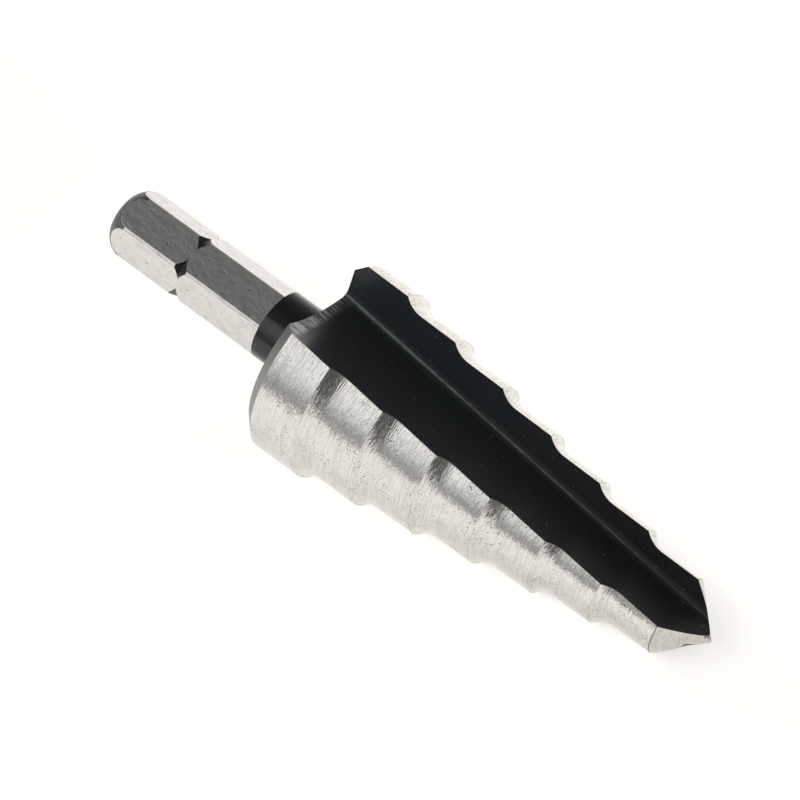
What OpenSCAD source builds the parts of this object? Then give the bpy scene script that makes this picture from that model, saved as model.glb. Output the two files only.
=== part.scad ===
// Step drill with two straight flutes and a hex shank.
// It is drawn along +X with the point forward, its axis on the X axis.
// Then it is laid on the table as it comes to rest: on the edges of one flute,
// with the other flute up and the shank clear of the table.

/* [Steps] */
// Diameter of the largest step
d_large = 20; // [18:0.5:22]
// Diameter of the smallest step
d_small = 8; // [7:0.5:9]
// Number of steps
steps = 7; // [6:1:8]
// Length of each step
step_len = 6; // [5:0.25:7]
// Radius of the hollow shoulder between two steps
shoulder_r = 2.25; // [1.6:0.05:3]
// Length of the bevel at the back of the largest step
back_bevel = 1.2; // [0.6:0.1:2]
// Included angle of the point
point_angle = 90; // [80:1:100]
// How far each land falls away from its cutting edge, as the offset of its centre
relief = 0.15; // [0.05:0.01:0.4]

/* [Flutes] */
// Height of the straight part of a flute's back wall, square to the cutting face
wall_h = 1.9; // [1:0.1:3]
// Radius of the bend above it, by which the wall leans in over the cutting face
wall_r = 18; // [15:0.5:24]
// Radius at the root of a flute
root_r = 0.8; // [0.3:0.1:1.2]
// Distance of the cutting face from the axis, at the smallest step's corner
face_offset = 1.55; // [1.3:0.05:1.7]
// Distance of the root from the axis along the cutting face, at the same corner
root_offset = 0.91; // [0.71:0.05:1.11]
// Slope of the root away from the axis, towards the shank
root_rise = 5.7; // [5:0.1:6.5]
// Lean of the cutting face, towards the shank
face_lean = 2.3; // [1:0.1:3]

/* [Shank] */
// Width across the flats of the hex
hex_af = 6.3; // [6:0.05:6.5]
// Turn of the hex about the axis
hex_turn = 4.5; // [0:0.5:30]
// Length of the hex
hex_len = 18.2; // [15:0.2:25]
// Diameter of the bar that the hex and the neck are cut from
bar_d = 7.1; // [7:0.05:7.2]
// Length of the round neck behind the steps
neck_len = 4.2; // [2:0.1:6]
// Length of the rounding at the end of the hex
end_len = 1.8; // [1:0.1:2]
// Radius of the flat at the end of the hex
end_r = 2.6; // [2.2:0.1:2.8]
// Distance of the locking notch from the end
notch_at = 8.7; // [6:0.1:10]
// Width of the locking notch at the corners of the hex
notch_w = 1.3; // [1:0.1:2]
// Depth of the locking notch at the corners of the hex
notch_depth = 0.34; // [0.2:0.02:0.5]

/* [Hidden] */
$fn = 96;
eps = 0.01;
bar_r = bar_d / 2;
drop = (d_large - d_small) / 2 / (steps - 1);
back_x = hex_len + neck_len;
last_x = back_x + steps * step_len;
point_len = d_small / 2 / tan(point_angle / 2);
tip_x = last_x + point_len;
// Foremost place of the point, where the two lands' cones meet
top_x = last_x + (land_r(steps - 1) - relief) / tan(point_angle / 2);
cut_len = tip_x - back_x;
// Length of the shoulder's arc, from the corner to where it runs into the next step
shoulder_len = sqrt(shoulder_r * shoulder_r - (shoulder_r - drop) * (shoulder_r - drop));
// Width of the notch's V one millimetre outside the bar
mouth_w = notch_w * (1 + 1 / notch_depth);
end_arc_r = (end_len * end_len + (bar_r - end_r) * (bar_r - end_r)) / 2 / (bar_r - end_r);

// Nominal radius of step i, counted from the shank
function step_r(i) = d_large / 2 - drop * i;
// Place of the front corner of step i
function step_x(i) = back_x + step_len * (i + 1);
// Height of the cutting face, and distance of the root along it, at x
function face_z(x) = -face_offset - (last_x - x) * tan(face_lean);
function root_y(x) = root_offset + (last_x - x) * tan(root_rise) / cos(face_lean);
// Line of the flute's own section at an angle to the cutting face, seen in a section
// across the axis
function across_axis(angle) = [
    cos(angle) / cos(root_rise) - sin(angle) * tan(face_lean) * tan(root_rise),
    sin(angle) / cos(face_lean)
];
// Point of a flute's back wall at height v above the cutting face, as [y, z] at x
function wall(x, v) =
    [root_y(x), face_z(x)]
    + (wall_r - sqrt(wall_r * wall_r - pow(max(v - wall_h, 0), 2))) * across_axis(0)
    + v * across_axis(90);
// Cutting corner of step i, as [y, z]
function lead(i) =
    let (z = face_z(step_x(i)))
    [sqrt(pow(step_r(i), 2) - z * z), z];
// Radius about the offset centre that takes the land of step i through its cutting corner
function land_r(i) = norm(lead(i) - [0, relief]);
// Height at which the back wall meets the land of step i, found by halving
function heel_v(i, low, high, tries) =
    let (v = (low + high) / 2)
    tries == 0 ? v
    : norm(wall(step_x(i), v) + [0, relief]) < land_r(i) ? heel_v(i, v, high, tries - 1)
    : heel_v(i, low, v, tries - 1);
// Rear corner of the land on the other side of the flute, as [y, z]
function heel(i) = wall(step_x(i), heel_v(i, 0, wall_h + 0.9 * wall_r, 30));

// Corners that touch the table, all on the lower flute
rest_a = [step_x(0), -heel(0)[0], -heel(0)[1]];
rest_b = [step_x(1), -lead(1)[0], -lead(1)[1]];
rest_c = [step_x(2), -lead(2)[0], -lead(2)[1]];
// Directions of the table's height, of its length along the drill and of its width
rest_n = cross(rest_b - rest_a, rest_c - rest_a);
up = rest_n / norm(rest_n);
along = [1 - up[0] * up[0], -up[0] * up[1], -up[0] * up[2]] / sqrt(1 - up[0] * up[0]);
across = cross(up, along);
// Middle of the laid drill's length
mid = (along[0] * top_x + up[0] * end_r) / 2;

// Outline of the steps and the point, as radius against length
module step_outline() {
    difference() {
        union() {
            for (i = [0 : steps - 1])
                translate([0, step_x(i) - step_len])
                    square([land_r(i), step_len]);
            for (i = [0 : steps - 2])
                translate([0, step_x(i) - eps])
                    square([land_r(i), shoulder_len + eps]);
            polygon([
                [0, last_x - eps],
                [land_r(steps - 1), last_x - eps],
                [land_r(steps - 1), last_x],
                [0, last_x + land_r(steps - 1) / tan(point_angle / 2)]
            ]);
        }
        for (i = [0 : steps - 2])
            translate([land_r(i + 1) + shoulder_r, step_x(i) + shoulder_len])
                circle(shoulder_r);
        // bevel at the back of the largest step
        translate([land_r(0), back_x])
            rotate(45)
                square(back_bevel * sqrt(2), center = true);
    }
}

// Steps turned about a centre that sits off the axis, so that the land falls away
module relieved_steps(side) {
    translate([0, 0, side * relief])
        rotate([0, 90, 0])
            rotate_extrude()
                step_outline();
}

// Section of one flute, open to +X and +Y: a square corner at the origin with a rounded
// root and a back wall that bends in over the cutting face
module flute_section(reach) {
    difference() {
        square(reach);
        difference() {
            square(root_r);
            translate([root_r, root_r])
                circle(root_r);
        }
        difference() {
            translate([0, wall_h])
                square(wall_r);
            translate([wall_r, wall_h])
                circle(wall_r);
        }
    }
}

// One flute, cut along a line that climbs from the point to the neck
module flute() {
    run = cut_len + 20;
    translate([last_x, root_offset, -face_offset])
        rotate([0, -face_lean, 0])
            rotate([0, 0, -root_rise])
                translate([-cut_len - 6, 0, 0])
                    rotate([90, 0, 90])
                        linear_extrude(run)
                            flute_section(2 * d_large);
}

module cutting_body() {
    difference() {
        intersection() {
            relieved_steps(1);
            relieved_steps(-1);
        }
        for (turn = [0, 180])
            rotate([turn, 0, 0])
                flute();
    }
}

// Outline of the bar: rounded end, locking notch and neck
module bar_outline() {
    difference() {
        square([bar_r, back_x + 1]);
        // rounding at the end
        difference() {
            translate([end_r, -1])
                square([bar_r, 1 + end_len]);
            translate([bar_r - end_arc_r, end_len])
                circle(end_arc_r);
        }
        // locking notch, a V drawn one millimetre past the bar
        translate([bar_r, notch_at])
            polygon([[-notch_depth, 0], [1, -mouth_w / 2], [1, mouth_w / 2]]);
    }
}

module shank() {
    difference() {
        rotate([0, 90, 0])
            rotate_extrude()
                bar_outline();
        for (k = [0 : 5])
            rotate([60 * k + hex_turn, 0, 0])
                translate([-1, -bar_d, hex_af / 2])
                    cube([hex_len + 1, 2 * bar_d, bar_d]);
    }
}

module step_drill() {
    color("silver")
        multmatrix([
            [along[0], along[1], along[2], -mid],
            [across[0], across[1], across[2], 0],
            [up[0], up[1], up[2], -up * rest_a]
        ]) {
            cutting_body();
            shank();
        }
}

step_drill();
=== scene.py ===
"""Step drill lying on the edges of one flute, on a pale table under soft studio light."""

import logging
import math
from dataclasses import dataclass, replace
from enum import Enum
from typing import Optional, Sequence, Union

import bpy
from mathutils import Matrix, Vector

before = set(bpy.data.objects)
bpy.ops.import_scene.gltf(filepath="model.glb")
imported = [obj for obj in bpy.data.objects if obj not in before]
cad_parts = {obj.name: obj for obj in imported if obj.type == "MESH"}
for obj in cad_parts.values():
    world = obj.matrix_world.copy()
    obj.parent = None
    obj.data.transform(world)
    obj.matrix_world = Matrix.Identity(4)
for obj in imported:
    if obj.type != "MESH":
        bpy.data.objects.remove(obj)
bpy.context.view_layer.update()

LOG = logging.getLogger("step_drill")
MM = 0.001

Socket = bpy.types.NodeSocket
Feed = Union[Socket, float, Sequence[float]]
Colour = tuple[float, float, float]
Span = tuple[float, float]
Fade = tuple[float, float, float, float]


class Region(Enum):
    """Stretch of the drill that carries a finish of its own."""

    HEX = "hex bar"
    END = "rounding and end face of the hex"
    NOTCH = "locking notch"
    NECK = "neck"
    BACK = "bevel and back of the largest step"
    LAND = "lands and shoulders"
    POINT = "point"
    FLUTE = "flutes"


@dataclass(frozen=True)
class DrillSizes:
    """Sizes of the drill in millimetres and degrees, in its own frame.

    The axis is X with the point forward, Y runs along the cutting face of the upper
    flute, and Z stands square to that face. The rear corner of a land is looked for by
    halving, on the back wall up to a share, wall_reach, of its radius.
    """

    d_large: float = 20.0
    d_small: float = 8.0
    steps: int = 7
    step_len: float = 6.0
    shoulder_r: float = 2.25
    point_angle: float = 90.0
    relief: float = 0.15
    back_bevel: float = 1.2
    wall_h: float = 1.9
    wall_r: float = 18.0
    root_r: float = 0.8
    face_offset: float = 1.55
    root_offset: float = 0.91
    root_rise: float = 5.7
    face_lean: float = 2.3
    hex_len: float = 18.2
    bar_d: float = 7.1
    neck_len: float = 4.2
    end_len: float = 1.8
    end_r: float = 2.6
    notch_at: float = 8.7
    notch_w: float = 1.3
    notch_depth: float = 0.34
    wall_reach: float = 0.9
    halvings: int = 40

    @property
    def drop(self) -> float:
        """How much less the radius of each step is than that of the step behind it."""
        return (self.d_large - self.d_small) / 2 / (self.steps - 1)

    @property
    def shoulder_len(self) -> float:
        """Length of the shoulder's arc along the axis."""
        return math.sqrt(self.shoulder_r**2 - (self.shoulder_r - self.drop) ** 2)

    @property
    def end_arc_r(self) -> float:
        """Radius of the arc at the end of the hex."""
        deep = self.bar_d / 2 - self.end_r
        return (self.end_len**2 + deep**2) / 2 / deep

    @property
    def back_x(self) -> float:
        """Place of the back face of the largest step."""
        return self.hex_len + self.neck_len

    @property
    def last_x(self) -> float:
        """Place of the front corner of the smallest step."""
        return self.back_x + self.steps * self.step_len

    @property
    def along_face(self) -> Vector:
        """Line of the flute's own section along the cutting face, seen across the axis."""
        return Vector((1 / math.cos(math.radians(self.root_rise)), 0))

    @property
    def off_face(self) -> Vector:
        """Line of the flute's own section square to the cutting face, seen across the axis."""
        lean, rise = math.radians(self.face_lean), math.radians(self.root_rise)
        return Vector((-math.tan(lean) * math.tan(rise), 1 / math.cos(lean)))

    def wall(self, x: float, v: float) -> Vector:
        """Finds a point of the flute's back wall in the section across the axis.

        Args:
            x: Place along the axis.
            v: Height above the cutting face, in the flute's own section.

        Returns:
            The point.
        """
        bent = max(v - self.wall_h, 0.0)
        lean_in = self.wall_r - math.sqrt(self.wall_r**2 - bent**2)
        start = Vector((self.root_y(x), self.face_z(x)))
        return start + lean_in * self.along_face + v * self.off_face

    def step_x(self, i: int) -> float:
        """Place of the front corner of step i, counted from the shank."""
        return self.back_x + self.step_len * (i + 1)

    def face_z(self, x: float) -> float:
        """Height of the cutting face at x."""
        return -self.face_offset - (self.last_x - x) * math.tan(math.radians(self.face_lean))

    def root_y(self, x: float) -> float:
        """Distance of the flute's root along the cutting face at x."""
        lean = math.cos(math.radians(self.face_lean))
        return self.root_offset + (self.last_x - x) * math.tan(math.radians(self.root_rise)) / lean

    def lead(self, i: int) -> Vector:
        """Cutting corner of step i, in the section across the axis."""
        z = self.face_z(self.step_x(i))
        return Vector((math.sqrt((self.d_large / 2 - self.drop * i) ** 2 - z**2), z))

    def land_r(self, i: int) -> float:
        """Radius of the land of step i about its offset centre."""
        return (self.lead(i) - Vector((0, self.relief))).length

    def heel(self, i: int) -> Vector:
        """Finds the rear corner of a land by halving the back wall's height.

        Args:
            i: Number of the step, counted from the shank.

        Returns:
            The corner, in the section across the axis.
        """
        low, high = 0.0, self.wall_h + self.wall_reach * self.wall_r
        for _ in range(self.halvings):
            middle = (low + high) / 2
            reach = (self.wall(self.step_x(i), middle) + Vector((0, self.relief))).length
            low, high = (middle, high) if reach < self.land_r(i) else (low, middle)
        return self.wall(self.step_x(i), low)


@dataclass(frozen=True)
class Lay:
    """How the drill lies on the table: the corners it rests on, its turn and its place."""

    sizes: DrillSizes

    @property
    def touching(self) -> list[Vector]:
        """Finds what carries the drill.

        Returns:
            The three corners of the lower flute that touch the table.
        """
        s = self.sizes
        corners = ((0, s.heel(0)), (1, s.lead(1)), (2, s.lead(2)))
        return [Vector((s.step_x(i), -c.x, -c.y)) for i, c in corners]

    @property
    def axes(self) -> Matrix:
        """Finds how the drill is turned.

        Returns:
            Rows with the directions along the drill on the table, across it, and up.
        """
        a, b, c = self.touching
        up = (b - a).cross(c - a).normalized()
        along = (Vector((1, 0, 0)) - up * up.x).normalized()
        return Matrix((along, up.cross(along), up))

    @property
    def shift(self) -> Vector:
        """Finds where the drill lies.

        Returns:
            Place of the middle of the hex's end face in the scene, in millimetres.
        """
        s = self.sizes
        along, _, up = self.axes
        half = math.tan(math.radians(s.point_angle / 2))
        top_x = s.last_x + (s.land_r(s.steps - 1) - s.relief) / half
        mid = (along.x * top_x + up.x * s.end_r) / 2
        return Vector((-mid, 0, -up.dot(self.touching[0])))


@dataclass(frozen=True)
class Pattern:
    """A noise pattern and how it comes in.

    Its stretch is the repeats per millimetre along each axis, its detail the number of
    finer layers and its rough their strength. Its fade holds the low and the high value
    that it comes in between, and what it gives at each of them.
    """

    stretch: tuple[float, float, float]
    detail: float
    rough: float
    fade: Fade = (0.0, 1.0, 0.0, 1.0)


class Sketch:
    """Lays out shader nodes, so that a material reads as plain sums and mixes."""

    def __init__(self, tree: bpy.types.NodeTree) -> None:
        """Starts on an empty node tree."""
        self.tree = tree
        self.tree.nodes.clear()

    def node(self, kind: str, **settings: object) -> bpy.types.Node:
        """Adds one node.

        Args:
            kind: Blender's name for the node type.
            settings: Values for the node's own properties.

        Returns:
            The new node.
        """
        made = self.tree.nodes.new(kind)
        for name, value in settings.items():
            setattr(made, name, value)
        return made

    def feed(self, socket: Socket, value: Optional[Feed]) -> None:
        """Links or sets one input.

        Args:
            socket: The input.
            value: Another node's output, or a plain value, or None to leave it.
        """
        if value is None:
            return
        if isinstance(value, bpy.types.NodeSocket):
            self.tree.links.new(value, socket)
        else:
            socket.default_value = value

    def math(self, operation: str, a: Feed, b: Optional[Feed] = None, c: Optional[Feed] = None) -> Socket:
        """Adds one sum of numbers.

        Args:
            operation: Blender's name for it.
            a: First number.
            b: Second number, where it has one.
            c: Third number, where it has one.

        Returns:
            The result.
        """
        made = self.node("ShaderNodeMath", operation=operation)
        for socket, value in zip(made.inputs, (a, b, c)):
            self.feed(socket, value)
        return made.outputs[0]

    def length(self, a: Socket, b: Socket) -> Socket:
        """Finds the length of a line from its two parts, which stand square to each other."""
        return self.math("SQRT", self.math("MULTIPLY_ADD", a, a, self.math("MULTIPLY", b, b)))

    def arc(self, along: Socket, radius: float) -> Socket:
        """Finds how far an arc has bent away from its tangent, at a distance along that."""
        squared = self.math("MULTIPLY_ADD", self.math("MULTIPLY", along, -1.0), along, radius**2)
        return self.math("SUBTRACT", radius, self.math("SQRT", squared))

    def vector(self, operation: str, a: Feed, b: Optional[Feed] = None, out: str = "Vector") -> Socket:
        """Adds one sum of vectors.

        Args:
            operation: Blender's name for it.
            a: First vector.
            b: Second vector or the scale, where it has one.
            out: Name of the output that is wanted.

        Returns:
            The result.
        """
        made = self.node("ShaderNodeVectorMath", operation=operation)
        self.feed(made.inputs[0], a)
        self.feed(made.inputs["Scale"] if operation == "SCALE" else made.inputs[1], b)
        return made.outputs[out]

    def fade(self, value: Feed, low: float, high: float, start: Feed = 0.0, end: Feed = 1.0) -> Socket:
        """Makes a smooth change.

        Args:
            value: The number that it follows.
            low: Value at which the change begins.
            high: Value at which it is complete.
            start: What it gives up to the low value.
            end: What it gives from the high value on.

        Returns:
            The changing number.
        """
        made = self.node("ShaderNodeMapRange", interpolation_type="SMOOTHSTEP")
        for socket, given in zip(made.inputs, (value, low, high, start, end)):
            self.feed(socket, given)
        return made.outputs[0]

    def blend(self, share: Feed, a: Feed, b: Feed) -> Socket:
        """Mixes two numbers.

        Args:
            share: How much of the second one shows, 0 to 1.
            a: First number.
            b: Second number.

        Returns:
            The mixed number.
        """
        made = self.node("ShaderNodeMix", data_type="FLOAT")
        for name, value in (("Factor_Float", share), ("A_Float", a), ("B_Float", b)):
            self.feed(next(s for s in made.inputs if s.identifier == name), value)
        return next(s for s in made.outputs if s.identifier == "Result_Float")

    def tint(self, share: Feed, a: Feed, b: Feed) -> Socket:
        """Mixes two colours.

        Args:
            share: How much of the second one shows, 0 to 1.
            a: First colour.
            b: Second colour.

        Returns:
            The mixed colour.
        """
        made = self.node("ShaderNodeMix", data_type="RGBA")
        for name, value in (("Factor_Float", share), ("A_Color", a), ("B_Color", b)):
            value = (*value, 1.0) if isinstance(value, tuple) else value
            self.feed(next(s for s in made.inputs if s.identifier == name), value)
        return next(s for s in made.outputs if s.identifier == "Result_Color")

    def noise(self, place: Socket, pattern: Pattern) -> Socket:
        """Adds a noise pattern.

        Args:
            place: Where on the drill, in millimetres.
            pattern: The pattern's repeats and layers.

        Returns:
            The pattern before its fade, about 0 to 1.
        """
        made = self.node("ShaderNodeTexNoise")
        self.feed(made.inputs["Vector"], self.vector("MULTIPLY", place, pattern.stretch))
        self.feed(made.inputs["Scale"], 1.0)
        self.feed(made.inputs["Detail"], pattern.detail)
        self.feed(made.inputs["Roughness"], pattern.rough)
        return made.outputs[0]

    def faded(self, place: Socket, pattern: Pattern) -> Socket:
        """Adds a noise pattern with its fade."""
        return self.fade(self.noise(place, pattern), *pattern.fade)


@dataclass(frozen=True)
class Look:
    """What one finish gives at each place of the surface."""

    colour: Feed
    metal: Feed
    rough: Feed
    height: Feed


@dataclass(frozen=True)
class Place:
    """Coordinates on the drill, in millimetres, as node outputs."""

    point: Socket
    x: Socket
    y: Socket
    z: Socket
    radius: Socket


@dataclass(frozen=True)
class Marks:
    """How strongly each mark shows at a place, from 0 to 1.

    The root is the matt rounding of a flute and painted_root_highlight the painted highlight
    along it, a light line that stands in for the rounding's reflection. Thin is where the
    milled steel shows through the oxide, and fore is near the point, where the oxide has no
    blue in it. The corner is the front corner of a step, beside is the pitted stretch next
    to it, and the ring is the stained circle where the point begins.
    """

    root: Feed = 0.0
    # painted highlight along the flute root, in place of the rounding's reflection
    painted_root_highlight: Feed = 0.0
    thin: Feed = 0.0
    fore: Feed = 0.0
    corner: Feed = 0.0
    beside: Feed = 0.0
    ring: Feed = 0.0


@dataclass(frozen=True)
class GroundSteel:
    """Bright steel ground round the axis, as on the lands and the point."""

    colour: Colour = (0.628, 0.620, 0.594)
    warm: Colour = (0.628, 0.609, 0.574)
    dull: Colour = (0.37, 0.365, 0.35)
    pitted: Colour = (0.09, 0.08, 0.07)
    stain: Colour = (0.14, 0.085, 0.075)
    hues: Pattern = Pattern((0.22, 0.30, 0.30), 2.0, 0.5, (0.42, 0.60, 0.0, 1.0))
    clouds: Pattern = Pattern((0.35, 0.5, 0.5), 3.0, 0.55, (0.40, 0.75, 0.0, 0.22))
    lines: Pattern = Pattern((4.5, 0.16, 0.16), 3.0, 0.6, (0.45, 0.70, 0.0, 0.36))
    dashes: Pattern = Pattern((6.5, 1.1, 1.1), 2.0, 0.55, (0.45, 0.66, 0.0, 0.36))
    specks: Pattern = Pattern((6.5, 5.0, 5.0), 2.0, 0.6, (0.48, 0.66, 0.0, 0.30))
    pits: Pattern = Pattern((5.0, 7.0, 7.0), 1.0, 0.4, (0.635, 0.68, 0.0, 1.0))
    crowds: Pattern = Pattern((0.30, 0.35, 0.35), 1.0, 0.5, (0.50, 0.66, 0.0, 1.0))
    flocks: Pattern = Pattern((0.15, 0.45, 0.45), 2.0, 0.6, (0.45, 0.60, 0.0, 1.0))
    corner_fade: Fade = (0.3, 0.6, 0.15, 0.55)
    lone_pits: float = 0.04
    crowded_pits: float = 0.85
    pit_share: float = 0.9
    ring_share: float = 0.85
    rough: float = 0.15
    rough_swing: float = 0.20
    pit_rough: float = 0.25
    line_height: float = 0.7
    dash_height: float = 2.9
    speck_height: float = 0.6
    pit_depth: float = 0.5

    def look(self, sketch: Sketch, place: Place, marks: Marks) -> Look:
        """Builds the finish.

        Args:
            sketch: The material's node layout.
            place: Where on the drill.
            marks: How strongly the corner, the pits beside it and the ring show.

        Returns:
            The finish at each place.
        """
        dashes = sketch.noise(place.point, self.dashes)
        lines = sketch.noise(place.point, self.lines)
        cloud = sketch.noise(place.point, self.clouds)
        specks = sketch.noise(place.point, self.specks)
        flock = sketch.math("MULTIPLY", marks.beside, sketch.faded(place.point, self.flocks))
        crowd = sketch.math("MAXIMUM", sketch.faded(place.point, self.crowds), flock)
        crowd = sketch.math("MULTIPLY_ADD", crowd, self.crowded_pits, self.lone_pits)
        pits = sketch.math("MULTIPLY", sketch.faded(place.point, self.pits), crowd)
        colour = sketch.tint(sketch.faded(place.point, self.hues), self.colour, self.warm)
        colour = sketch.tint(sketch.fade(cloud, *self.clouds.fade), colour, self.dull)
        colour = sketch.tint(sketch.fade(lines, *self.lines.fade), colour, self.dull)
        colour = sketch.tint(sketch.fade(dashes, *self.dashes.fade), colour, self.dull)
        colour = sketch.tint(sketch.fade(specks, *self.specks.fade), colour, self.dull)
        colour = sketch.tint(sketch.math("MULTIPLY", pits, self.pit_share), colour, self.pitted)
        # darker line along each step's front corner, broken up by the clouds
        darker_corner = sketch.math("MULTIPLY", marks.corner, sketch.fade(cloud, *self.corner_fade))
        colour = sketch.tint(darker_corner, colour, self.dull)
        colour = sketch.tint(sketch.math("MULTIPLY", marks.ring, self.ring_share), colour, self.stain)
        swing = sketch.math("MULTIPLY", sketch.math("SUBTRACT", specks, 0.5), self.rough_swing)
        rough = sketch.math("MULTIPLY_ADD", pits, self.pit_rough, self.rough)
        rough = sketch.math("ADD", rough, swing)
        height = sketch.math("MULTIPLY", dashes, self.dash_height)
        height = sketch.math("MULTIPLY_ADD", lines, self.line_height, height)
        height = sketch.math("MULTIPLY_ADD", specks, self.speck_height, height)
        height = sketch.math("MULTIPLY_ADD", pits, -self.pit_depth, height)
        return Look(colour, 1.0, rough, height)


@dataclass(frozen=True)
class BlackOxide:
    """Black oxide over milled or turned steel, as in the flutes and on the neck."""

    colour: Colour = (0.0280, 0.0330, 0.0375)
    worn: Colour = (0.0310, 0.0335, 0.0330)
    plain: Colour = (0.0225, 0.0215, 0.0215)
    # grey of the dust specks, also the colour of the painted highlight along the flute root
    rubbed: Colour = (0.250, 0.270, 0.275)
    bare: Colour = (0.26, 0.26, 0.265)
    clouds: Pattern = Pattern((0.25, 0.6, 0.6), 3.0, 0.5, (0.5, 0.8, 0.0, 0.5))
    patches: Pattern = Pattern((0.7, 1.2, 1.2), 3.0, 0.7, (0.36, 0.62, 0.45, 1.0))
    dust: Pattern = Pattern((2.4, 2.6, 2.6), 1.0, 0.4, (0.735, 0.77, 0.0, 0.35))
    ridges: Pattern = Pattern((0.15, 4.5, 4.5), 2.0, 0.6, (0.42, 0.56, 0.12, 1.0))
    metal: float = 0.0
    rough: float = 0.33
    rough_swing: float = 0.06
    root_rough: float = 0.60

    def look(self, sketch: Sketch, place: Place, marks: Marks) -> Look:
        """Builds the finish.

        Args:
            sketch: The material's node layout.
            place: Where on the drill.
            marks: How strongly the matt root, the painted highlight along it, the thin oxide and
                the plain black near the point show.

        Returns:
            The finish at each place.
        """
        cloud = sketch.noise(place.point, self.clouds)
        # painted highlight along the root, broken up by patches and laid on in the rubbed grey
        ragged_highlight = sketch.math("MULTIPLY", marks.painted_root_highlight, sketch.faded(place.point, self.patches))
        showing = sketch.math("MULTIPLY", marks.thin, sketch.faded(place.point, self.ridges))
        colour = sketch.tint(sketch.fade(cloud, *self.clouds.fade), self.colour, self.worn)
        colour = sketch.tint(marks.fore, colour, self.plain)
        colour = sketch.tint(ragged_highlight, colour, self.rubbed)
        colour = sketch.tint(sketch.faded(place.point, self.dust), colour, self.rubbed)
        colour = sketch.tint(showing, colour, self.bare)
        rough = sketch.math("MULTIPLY_ADD", cloud, self.rough_swing, self.rough - self.rough_swing / 2)
        rough = sketch.blend(marks.root, rough, self.root_rough)
        metal = sketch.math("MAXIMUM", showing, self.metal)
        return Look(colour, metal, rough, 0.0)


@dataclass(frozen=True)
class GreySatin:
    """Grey turned steel, as on the bevel, the back of the largest step and the hex's end."""

    colour: Colour = (0.24, 0.24, 0.235)
    dark: Colour = (0.15, 0.15, 0.15)
    clouds: Pattern = Pattern((0.8, 0.8, 0.8), 3.0, 0.55, (0.45, 0.75, 0.0, 0.4))
    rings_per_mm: float = 9.0
    ring_detail: float = 3.0
    ring_fade: Fade = (0.3, 0.7, 0.0, 0.6)
    rough: float = 0.34
    rough_swing: float = 0.12

    def look(self, sketch: Sketch, place: Place) -> Look:
        """Builds the finish.

        Args:
            sketch: The material's node layout.
            place: Where on the drill.

        Returns:
            The finish at each place.
        """
        turned = sketch.node("ShaderNodeTexNoise", noise_dimensions="1D")
        sketch.feed(turned.inputs["W"], sketch.math("MULTIPLY", place.radius, self.rings_per_mm))
        sketch.feed(turned.inputs["Detail"], self.ring_detail)
        rings = turned.outputs[0]
        cloud = sketch.noise(place.point, self.clouds)
        colour = sketch.tint(sketch.fade(rings, *self.ring_fade), self.colour, self.dark)
        colour = sketch.tint(sketch.fade(cloud, *self.clouds.fade), colour, self.dark)
        rough = sketch.math("MULTIPLY_ADD", cloud, self.rough_swing, self.rough - self.rough_swing / 2)
        return Look(colour, 1.0, rough, rings)


@dataclass(frozen=True)
class SatinBar:
    """Drawn hex bar with a satin surface and light mottling."""

    colour: Colour = (0.567, 0.557, 0.541)
    mottle: Colour = (0.50, 0.49, 0.478)
    scuffed: Colour = (0.16, 0.15, 0.14)
    patches: Pattern = Pattern((0.9, 1.3, 1.3), 3.0, 0.55, (0.38, 0.68, 0.0, 0.8))
    grains: Pattern = Pattern((3.4, 3.4, 3.4), 2.0, 0.5)
    scuffs: Pattern = Pattern((2.2, 3.0, 3.0), 1.0, 0.4, (0.71, 0.76, 0.0, 1.0))
    scuff_share: float = 0.6
    rough: float = 0.22
    rough_swing: float = 0.14
    patch_height: float = 2.8
    grain_height: float = 0.5
    scuff_depth: float = 0.6

    def look(self, sketch: Sketch, place: Place) -> Look:
        """Builds the finish.

        Args:
            sketch: The material's node layout.
            place: Where on the drill.

        Returns:
            The finish at each place.
        """
        patch = sketch.noise(place.point, self.patches)
        grain = sketch.noise(place.point, self.grains)
        scuff = sketch.faded(place.point, self.scuffs)
        colour = sketch.tint(sketch.fade(patch, *self.patches.fade), self.colour, self.mottle)
        colour = sketch.tint(sketch.math("MULTIPLY", scuff, self.scuff_share), colour, self.scuffed)
        rough = sketch.math("MULTIPLY_ADD", patch, self.rough_swing, self.rough - self.rough_swing / 2)
        height = sketch.math("MULTIPLY", grain, self.grain_height)
        height = sketch.math("MULTIPLY_ADD", patch, self.patch_height, height)
        height = sketch.math("MULTIPLY_ADD", scuff, -self.scuff_depth, height)
        return Look(colour, 1.0, rough, height)


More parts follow.
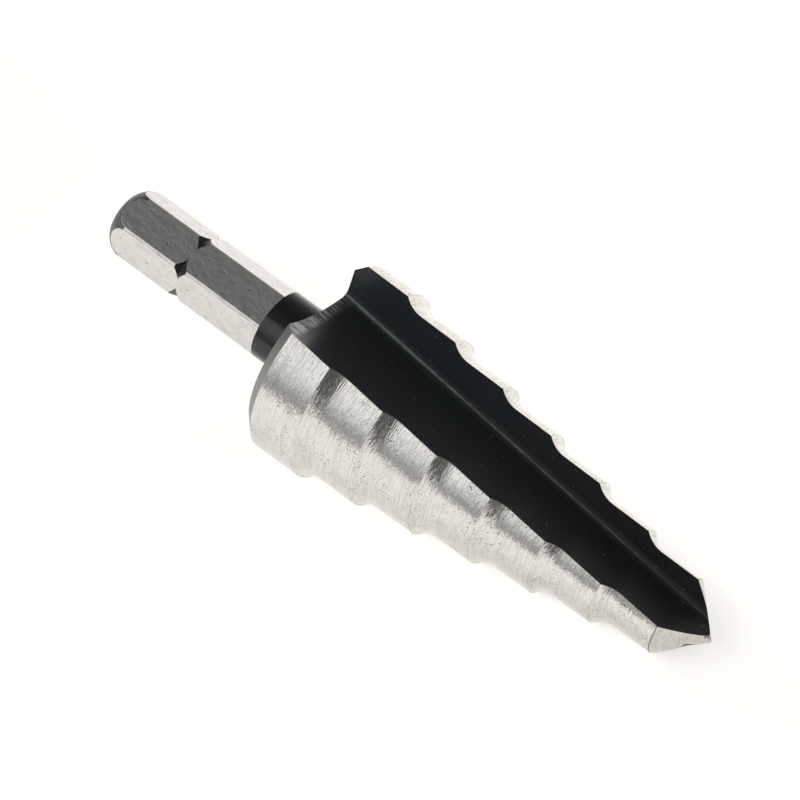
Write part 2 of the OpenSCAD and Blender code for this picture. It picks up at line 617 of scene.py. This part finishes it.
@dataclass
class StepDrill:
    """The drill: one solid piece, dressed with a finish for each of its regions.

    Lengths are in millimetres. A span holds what a mark has at the two ends of its fade.
    """

    sizes: DrillSizes = DrillSizes()
    steel: GroundSteel = GroundSteel()
    point: GroundSteel = GroundSteel(colour=(0.615, 0.592, 0.557), rough=0.22)
    oxide: BlackOxide = BlackOxide()
    turned_oxide: BlackOxide = BlackOxide(
        colour=(0.040, 0.041, 0.043), worn=(0.044, 0.045, 0.047), metal=0.7, rough=0.13
    )
    satin: GreySatin = GreySatin()
    end_satin: GreySatin = GreySatin(colour=(0.16, 0.16, 0.16), dark=(0.09, 0.09, 0.09))
    bar: SatinBar = SatinBar()
    edge: float = 0.02
    on_wall: float = 0.1
    wall_span: Span = (0.3, 0.8)
    root_span: Span = (-0.05, 0.15)
    # painted highlight along the flute root: its width at the shank and towards the point, the run over
    # which it narrows, and its strength at both ends
    painted_root_highlight_wide: float = 0.34
    painted_root_highlight_narrow: float = 0.23
    painted_root_highlight_run: float = 20.0
    painted_root_highlight_full_len: float = 8.0
    painted_root_highlight_shares: Span = (0.88, 0.22)
    thin_slope: float = 0.16
    thin_span: Span = (-0.2, 0.5)
    fore_start: float = 16.0
    fore_end: float = 4.0
    rubbed_edge: float = 0.07
    rubbed_share: float = 0.85
    corner_line: float = 0.07
    beside_span: Span = (0.2, 1.5)
    point_beside: float = 0.6
    ring_half: float = 0.08
    eased_len: float = 1.0
    eased_slope: float = 0.46
    bump_mm: float = 0.02
    specular: float = 0.25

    @property
    def lay(self) -> Lay:
        """How the drill lies on the table."""
        return Lay(self.sizes)

    def coordinates(self, sketch: Sketch) -> Place:
        """Turns the table's frame back into the drill's own, in millimetres.

        Args:
            sketch: The material's node layout.

        Returns:
            The coordinates as node outputs.
        """
        axes, shift = self.lay.axes, self.lay.shift
        table = sketch.node("ShaderNodeTexCoord").outputs["Object"]
        mm = sketch.vector("SCALE", table, 1 / MM)
        off = sketch.vector("SUBTRACT", mm, tuple(shift))
        x, y, z = (sketch.vector("DOT_PRODUCT", off, tuple(axes.col[k]), "Value") for k in range(3))
        joined = sketch.node("ShaderNodeCombineXYZ")
        for socket, value in zip(joined.inputs, (x, y, z)):
            sketch.feed(socket, value)
        return Place(joined.outputs[0], x, y, z, sketch.length(y, z))

    def flute_depths(self, sketch: Sketch, place: Place, side: float) -> tuple[Socket, Socket]:
        """Measures how far a place lies inside one flute.

        Args:
            sketch: The material's node layout.
            place: Where on the drill.
            side: 1 for the upper flute and -1 for the lower one.

        Returns:
            The distances from the flute's cutting face and from its back wall.
        """
        s = self.sizes
        lean, rise = math.radians(s.face_lean), math.radians(s.root_rise)
        behind = sketch.math("SUBTRACT", s.last_x, place.x)
        y = sketch.math("MULTIPLY", place.y, side)
        z = sketch.math("MULTIPLY", place.z, side)
        over = sketch.math("ADD", z, s.face_offset)
        over = sketch.math("MULTIPLY_ADD", behind, math.tan(lean), over)
        root = sketch.math("MULTIPLY_ADD", behind, math.tan(rise) / math.cos(lean), s.root_offset)
        past = sketch.math("SUBTRACT", y, root)
        past = sketch.math("MULTIPLY_ADD", over, -s.off_face.x / s.off_face.y, past)
        bent = sketch.math("SUBTRACT", sketch.math("DIVIDE", over, s.off_face.y), s.wall_h)
        bent = sketch.math("MAXIMUM", bent, 0.0)
        lean_in = sketch.math("MULTIPLY", sketch.arc(bent, s.wall_r), s.along_face.x)
        return over, sketch.math("SUBTRACT", past, lean_in)

    def flute_marks(self, sketch: Sketch, place: Place) -> tuple[Socket, Socket, Socket, Socket]:
        """Finds the flutes and the marks in them.

        Args:
            sketch: The material's node layout.
            place: Where on the drill.

        Returns:
            How far a place lies inside a flute, and how strongly the matt root, the painted
            highlight along it and the thin oxide at the back end show.
        """
        s = self.sizes
        deep: list[Socket] = []
        near: list[Socket] = []
        middle: list[Socket] = []
        wall: list[Socket] = []
        for side in (1.0, -1.0):
            over, back = self.flute_depths(sketch, place, side)
            deep.append(sketch.math("MINIMUM", over, back))
            near.append(sketch.math("ADD", sketch.math("ABSOLUTE", over), sketch.math("ABSOLUTE", back)))
            middle.append(sketch.math("ABSOLUTE", sketch.math("SUBTRACT", over, back)))
            on_back = sketch.math("LESS_THAN", sketch.math("ABSOLUTE", back), self.on_wall)
            wall.append(sketch.math("MULTIPLY", sketch.fade(over, *self.wall_span), on_back))
        from_root = sketch.math("MINIMUM", *near)
        low, high = self.root_span
        root = sketch.fade(from_root, s.root_r + low, s.root_r + high, 1.0, 0.0)
        # painted highlight along the flute root, standing in for the rounding's reflection: widest and
        # strongest towards the shank, and only on the rounding
        share = sketch.fade(place.x, s.back_x + self.painted_root_highlight_full_len, s.last_x, *self.painted_root_highlight_shares)
        width = sketch.fade(
            place.x, s.back_x, s.back_x + self.painted_root_highlight_run, self.painted_root_highlight_wide, self.painted_root_highlight_narrow
        )
        across = sketch.math("DIVIDE", sketch.math("MINIMUM", *middle), width)
        painted_root_highlight = sketch.math("MULTIPLY", sketch.fade(across, 0.0, 1.0, 1.0, 0.0), share)
        painted_root_highlight = sketch.math("MULTIPLY", painted_root_highlight, sketch.math("LESS_THAN", from_root, s.root_r))
        back_end = sketch.math("MULTIPLY", place.radius, self.thin_slope)
        back_end = sketch.math("SUBTRACT", place.x, back_end)
        low, high = self.thin_span
        thin = sketch.fade(back_end, s.back_x + low, s.back_x + high, 1.0, 0.0)
        thin = sketch.math("MULTIPLY", thin, sketch.math("MAXIMUM", *wall))
        return sketch.math("MAXIMUM", *deep), root, painted_root_highlight, thin

    def eased(self, sketch: Sketch, into: Socket) -> Socket:
        """Makes the shoulders a little less steep beside their worn corners.

        Args:
            sketch: The material's node layout.
            into: How far a place lies in front of the last corner.

        Returns:
            A height in steps of the bump's own size.
        """
        left = sketch.math("MAXIMUM", sketch.math("MULTIPLY_ADD", into, -1 / self.eased_len, 1.0), 0.0)
        curve = sketch.math("SUBTRACT", 1.0, sketch.math("MULTIPLY", left, left))
        curve = sketch.math("MULTIPLY_ADD", into, -1 / self.sizes.step_len, curve)
        return sketch.math("MULTIPLY", curve, self.eased_slope * self.eased_len / 2 / self.bump_mm)

    def outline(self, sketch: Sketch, place: Place) -> tuple[Socket, Socket, Socket]:
        """Follows the outline of the steps.

        Args:
            sketch: The material's node layout.
            place: Where on the drill.

        Returns:
            How far a place lies inside the steps' outline, how far it lies in front of the
            last corner of a step, and how far from the nearest one.
        """
        s = self.sizes
        count = sketch.math("DIVIDE", sketch.math("SUBTRACT", place.x, s.back_x), s.step_len)
        index = sketch.math("MAXIMUM", sketch.math("FLOOR", count), 0.0)
        into = sketch.math("MULTIPLY", sketch.math("SUBTRACT", count, index), s.step_len)
        left = sketch.math("MAXIMUM", sketch.math("SUBTRACT", s.shoulder_len, into), 0.0)
        mean_drop = (s.land_r(0) - s.land_r(s.steps - 1)) / (s.steps - 1)
        radius = sketch.math("MULTIPLY_ADD", index, -mean_drop, s.land_r(0))
        radius = sketch.math("ADD", radius, sketch.arc(left, s.shoulder_r))
        off = [sketch.math("ADD", place.z, side * s.relief) for side in (1.0, -1.0)]
        reach = sketch.math("MAXIMUM", *(sketch.length(z, place.y) for z in off))
        depth = sketch.math("SUBTRACT", radius, reach)
        to_next = sketch.math("SUBTRACT", s.step_len, into)
        return depth, into, sketch.math("MINIMUM", into, to_next)

    def bar_marks(self, sketch: Sketch, place: Place) -> tuple[Socket, Socket]:
        """Finds the rounding and end face of the hex, and the flanks of the locking notch.

        Args:
            sketch: The material's node layout.
            place: Where on the drill.

        Returns:
            For each of the two 1 inside and 0 outside.
        """
        s = self.sizes
        out = sketch.math("SUBTRACT", place.radius, s.bar_d / 2 - s.end_arc_r)
        back = sketch.math("SUBTRACT", s.end_len, place.x)
        reach = sketch.length(out, back)
        end = sketch.fade(reach, s.end_arc_r - 2 * self.edge, s.end_arc_r - self.edge / 2)
        end = sketch.math("MULTIPLY", end, sketch.math("GREATER_THAN", back, 0.0))
        end = sketch.math("MAXIMUM", end, sketch.math("LESS_THAN", place.x, self.edge))
        above = sketch.math("SUBTRACT", place.radius, s.bar_d / 2 - s.notch_depth)
        aside = sketch.math("ABSOLUTE", sketch.math("SUBTRACT", place.x, s.notch_at))
        flank = sketch.math("MULTIPLY_ADD", above, -s.notch_w / 2 / s.notch_depth, aside)
        notch = sketch.math("LESS_THAN", flank, self.edge)
        notch = sketch.math("MULTIPLY", notch, sketch.math("GREATER_THAN", above, 0.0))
        return end, notch

    def regions(self, sketch: Sketch, place: Place) -> tuple[dict[Region, Socket], Marks, Socket]:
        """Works out which region a place belongs to, and which marks it has.

        Args:
            sketch: The material's node layout.
            place: Where on the drill.

        Returns:
            For each region but the lands 1 inside and 0 outside, the strengths of the
            marks, and the height that eases the shoulders.
        """
        s = self.sizes
        deep, root, painted_root_highlight, thin = self.flute_marks(sketch, place)
        depth, into, from_corner = self.outline(sketch, place)
        end, notch = self.bar_marks(sketch, place)
        rubbed = sketch.fade(depth, 0.0, self.rubbed_edge, self.rubbed_share, 0.0)
        rubbed = sketch.math("MULTIPLY", rubbed, sketch.math("LESS_THAN", place.x, s.last_x))
        in_flute = sketch.fade(deep, -2 * self.edge, 0.0)
        in_body = sketch.math("GREATER_THAN", place.x, s.back_x + self.edge)
        in_flute = sketch.math("MULTIPLY", in_flute, in_body)
        off_ring = sketch.math("ABSOLUTE", sketch.math("SUBTRACT", place.x, s.last_x))
        masks = {
            Region.BACK: sketch.math("LESS_THAN", place.x, s.back_x + s.back_bevel - self.edge),
            Region.POINT: sketch.fade(place.x, s.last_x - self.edge, s.last_x + self.edge),
            Region.FLUTE: sketch.math("MULTIPLY", in_flute, sketch.math("SUBTRACT", 1.0, rubbed)),
            Region.NECK: sketch.math("LESS_THAN", place.x, s.back_x - self.edge),
            Region.HEX: sketch.math("LESS_THAN", place.x, s.hex_len - self.edge),
            Region.END: end,
            Region.NOTCH: notch,
        }
        marks = Marks(
            root=root,
            painted_root_highlight=painted_root_highlight,
            thin=thin,
            fore=sketch.fade(place.x, s.back_x + self.fore_start, s.last_x - self.fore_end),
            corner=sketch.fade(from_corner, 0.0, self.corner_line, 1.0, 0.0),
            beside=sketch.fade(from_corner, *self.beside_span, 1.0, 0.0),
            ring=sketch.fade(off_ring, self.ring_half / 4, self.ring_half, 1.0, 0.0),
        )
        return masks, marks, self.eased(sketch, into)

    def material(self) -> bpy.types.Material:
        """Builds the one material of the drill, with its finishes kept apart by place.

        Returns:
            The material.
        """
        made = bpy.data.materials.new("drill_steel")
        made.use_nodes = True
        sketch = Sketch(made.node_tree)
        place = self.coordinates(sketch)
        masks, marks, eased = self.regions(sketch, place)
        on_neck = self.turned_oxide.look(sketch, place, Marks())
        looks = {
            Region.LAND: self.steel.look(sketch, place, marks),
            Region.BACK: self.satin.look(sketch, place),
            Region.POINT: self.point.look(sketch, place, replace(marks, beside=self.point_beside)),
            Region.FLUTE: self.oxide.look(sketch, place, marks),
            Region.NECK: on_neck,
            Region.HEX: self.bar.look(sketch, place),
            Region.END: self.end_satin.look(sketch, place),
            Region.NOTCH: on_neck,
        }
        now = looks[Region.LAND]
        now = replace(now, height=sketch.math("ADD", now.height, eased))
        for region, mask in masks.items():
            new = looks[region]
            now = Look(
                sketch.tint(mask, now.colour, new.colour),
                sketch.blend(mask, now.metal, new.metal),
                sketch.blend(mask, now.rough, new.rough),
                sketch.blend(mask, now.height, new.height),
            )
        bump = sketch.node("ShaderNodeBump")
        bump.inputs["Distance"].default_value = self.bump_mm * MM
        sketch.feed(bump.inputs["Height"], now.height)
        shader = sketch.node("ShaderNodeBsdfPrincipled")
        shader.inputs["Specular IOR Level"].default_value = self.specular
        sketch.feed(shader.inputs["Base Color"], now.colour)
        sketch.feed(shader.inputs["Metallic"], now.metal)
        sketch.feed(shader.inputs["Roughness"], now.rough)
        sketch.feed(shader.inputs["Normal"], bump.outputs["Normal"])
        out = sketch.node("ShaderNodeOutputMaterial")
        sketch.feed(out.inputs["Surface"], shader.outputs["BSDF"])
        return made

    def dress(self) -> None:
        """Puts the material on the drill's solid."""
        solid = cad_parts["step_drill"]
        solid.data.materials.clear()
        solid.data.materials.append(self.material())
        LOG.info("step_drill: dressed, %d faces", len(solid.data.polygons))


@dataclass
class Studio:
    """The table, the soft light round it and the camera.

    Lengths are in metres and angles in degrees, but the lens and sensor are in millimetres.
    The panel and the backdrop are pairs of height and brightness.
    """

    target: tuple[float, float, float] = (-0.001962, 0.001116, 0.008)
    camera_at: tuple[float, float, float] = (0.145555, -0.165746, 0.268451)
    camera_roll: float = -2.5324
    camera_near: float = 0.01
    lens: float = 170.736
    sensor: float = 36.0
    table_half: float = 3.0
    table_colour: Colour = (0.80, 0.795, 0.785)
    table_tint: Colour = (1.0, 0.975, 0.93)
    table_rough: float = 0.8
    table_specular: float = 0.1
    # painted pool of light: the table's glow near the drill and far from it
    glow_near: float = 1.02
    glow_far: float = 0.30
    glow_edge: Span = (0.045, 0.160)
    glow_stretch: float = 3.0
    # painted shadow under the drill: the glow's share there, its edge, its taper towards the point and
    # where it ends
    under_level: float = 0.68
    under_edge: Span = (0.006, 0.020)
    under_taper: float = 0.11
    under_ends: Span = (0.045, 0.080)
    strength: float = 1.4
    panel: tuple[Span, ...] = (
        (0.00, 0.36),
        (0.12, 0.34),
        (0.20, 0.46),
        (0.32, 0.65),
        (0.50, 0.92),
        (0.66, 1.04),
        (0.80, 1.05),
        (0.87, 0.45),
        (0.91, 0.18),
        (1.00, 0.17),
    )
    backdrop: tuple[Span, ...] = (
        (0.00, 0.81),
        (0.15, 0.60),
        (0.35, 0.34),
        (0.60, 0.20),
        (0.85, 0.10),
    )
    panel_side: float = -125.0
    panel_edge: Span = (0.30, 0.95)
    backdrop_side: float = 105.0
    backdrop_edge: Span = (0.0, 0.6)
    room: float = 0.10

    def table(self) -> None:
        """Lays the pale table top at height zero.

        It is brightest in a pool of light round the drill, and a little less so under it.
        """
        half = self.table_half
        mesh = bpy.data.meshes.new("table_top")
        corners = [(-half, -half, 0), (half, -half, 0), (half, half, 0), (-half, half, 0)]
        mesh.from_pydata(corners, [], [(0, 1, 2, 3)])
        top = bpy.data.objects.new("table_top", mesh)
        bpy.context.scene.collection.objects.link(top)
        paint = bpy.data.materials.new("pale_table")
        paint.use_nodes = True
        sketch = Sketch(paint.node_tree)
        place = sketch.node("ShaderNodeTexCoord").outputs["Object"]
        from_drill = sketch.vector("MULTIPLY", place, (1.0, 1 / self.glow_stretch, 0.0))
        away = sketch.vector("LENGTH", from_drill, out="Value")
        shader = sketch.node("ShaderNodeBsdfPrincipled")
        shader.inputs["Base Color"].default_value = (*self.table_colour, 1)
        shader.inputs["Roughness"].default_value = self.table_rough
        shader.inputs["Specular IOR Level"].default_value = self.table_specular
        shader.inputs["Emission Color"].default_value = (*self.table_tint, 1)
        # painted pool of light: the table glows brightest round the drill and fades outward
        glow = sketch.fade(away, *self.glow_edge, self.glow_near, self.glow_far)
        parts = sketch.node("ShaderNodeSeparateXYZ")
        sketch.feed(parts.inputs[0], place)
        aside = sketch.math("ABSOLUTE", parts.outputs["Y"])
        # painted shadow: the glow is lowered under and beside the drill, except beyond its ends
        aside = sketch.math("MULTIPLY_ADD", parts.outputs["X"], self.under_taper, aside)
        under = sketch.fade(aside, *self.under_edge, self.under_level, 1.0)
        beyond = sketch.fade(sketch.math("ABSOLUTE", parts.outputs["X"]), *self.under_ends)
        under = sketch.math("MAXIMUM", under, beyond)
        sketch.feed(shader.inputs["Emission Strength"], sketch.math("MULTIPLY", glow, under))
        out = sketch.node("ShaderNodeOutputMaterial")
        sketch.feed(out.inputs["Surface"], shader.outputs["BSDF"])
        mesh.materials.append(paint)

    def heights(self, sketch: Sketch, height: Socket, stops: Sequence[Span]) -> Socket:
        """Makes a brightness that changes with height above the horizon.

        Args:
            sketch: The surroundings' node layout.
            height: The height, 0 at the horizon and 1 overhead.
            stops: Pairs of height and brightness.

        Returns:
            The brightness.
        """
        made = sketch.node("ShaderNodeValToRGB")
        sketch.feed(made.inputs["Fac"], height)
        ramp = made.color_ramp
        while len(ramp.elements) < len(stops):
            ramp.elements.new(0.5)
        for stop, (high, bright) in zip(ramp.elements, stops):
            stop.position = high
            stop.color = (bright, bright, bright, 1)
        return made.outputs["Color"]

    def facing(self, sketch: Sketch, flat: Socket, side: float, edge: Span) -> Socket:
        """Gives 1 towards one side and 0 away from it, by the angle seen from above."""
        towards = (math.cos(math.radians(side)), math.sin(math.radians(side)), 0.0)
        return sketch.fade(sketch.vector("DOT_PRODUCT", flat, towards, "Value"), *edge)

    def surroundings(self) -> None:
        """Fills the room with one soft panel, a lit backdrop behind and dim walls."""
        world = bpy.data.worlds.new("studio")
        world.use_nodes = True
        sketch = Sketch(world.node_tree)
        way = sketch.node("ShaderNodeTexCoord").outputs["Generated"]
        parts = sketch.node("ShaderNodeSeparateXYZ")
        sketch.feed(parts.inputs[0], way)
        height = parts.outputs["Z"]
        flat = sketch.vector("NORMALIZE", sketch.vector("MULTIPLY", way, (1.0, 1.0, 0.0)))
        on_panel = self.facing(sketch, flat, self.panel_side, self.panel_edge)
        on_backdrop = self.facing(sketch, flat, self.backdrop_side, self.backdrop_edge)
        panel = sketch.blend(on_panel, self.room, self.heights(sketch, height, self.panel))
        backdrop = sketch.math("MULTIPLY", on_backdrop, self.heights(sketch, height, self.backdrop))
        light = sketch.node("ShaderNodeBackground")
        bright = sketch.math("MAXIMUM", panel, backdrop)
        sketch.feed(light.inputs["Strength"], sketch.math("MULTIPLY", bright, self.strength))
        light.inputs["Color"].default_value = (1.0, 1.0, 1.0, 1.0)
        out = sketch.node("ShaderNodeOutputWorld")
        sketch.feed(out.inputs["Surface"], light.outputs[0])
        bpy.context.scene.world = world

    def camera(self) -> None:
        """Sets the camera at the photograph's viewing angle."""
        data = bpy.data.cameras.new("camera")
        data.lens = self.lens
        data.sensor_width = self.sensor
        data.clip_start = self.camera_near
        made = bpy.data.objects.new("camera", data)
        place = Vector(self.camera_at)
        look = (Vector(self.target) - place).to_track_quat("-Z", "Y").to_matrix()
        turn = Matrix.Rotation(math.radians(self.camera_roll), 3, "Z")
        made.matrix_world = Matrix.Translation(place) @ (look @ turn).to_4x4()
        bpy.context.scene.collection.objects.link(made)
        bpy.context.scene.camera = made

    def build(self) -> None:
        """Sets up the whole studio."""
        bpy.context.scene.view_settings.view_transform = "Standard"
        self.table()
        self.surroundings()
        self.camera()
        LOG.info("studio: table, soft light and camera")


def main() -> None:
    """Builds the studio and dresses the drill."""
    logging.basicConfig(level=logging.INFO, format="%(name)s: %(message)s")
    Studio().build()
    StepDrill().dress()


if __name__ == "__main__":
    main()
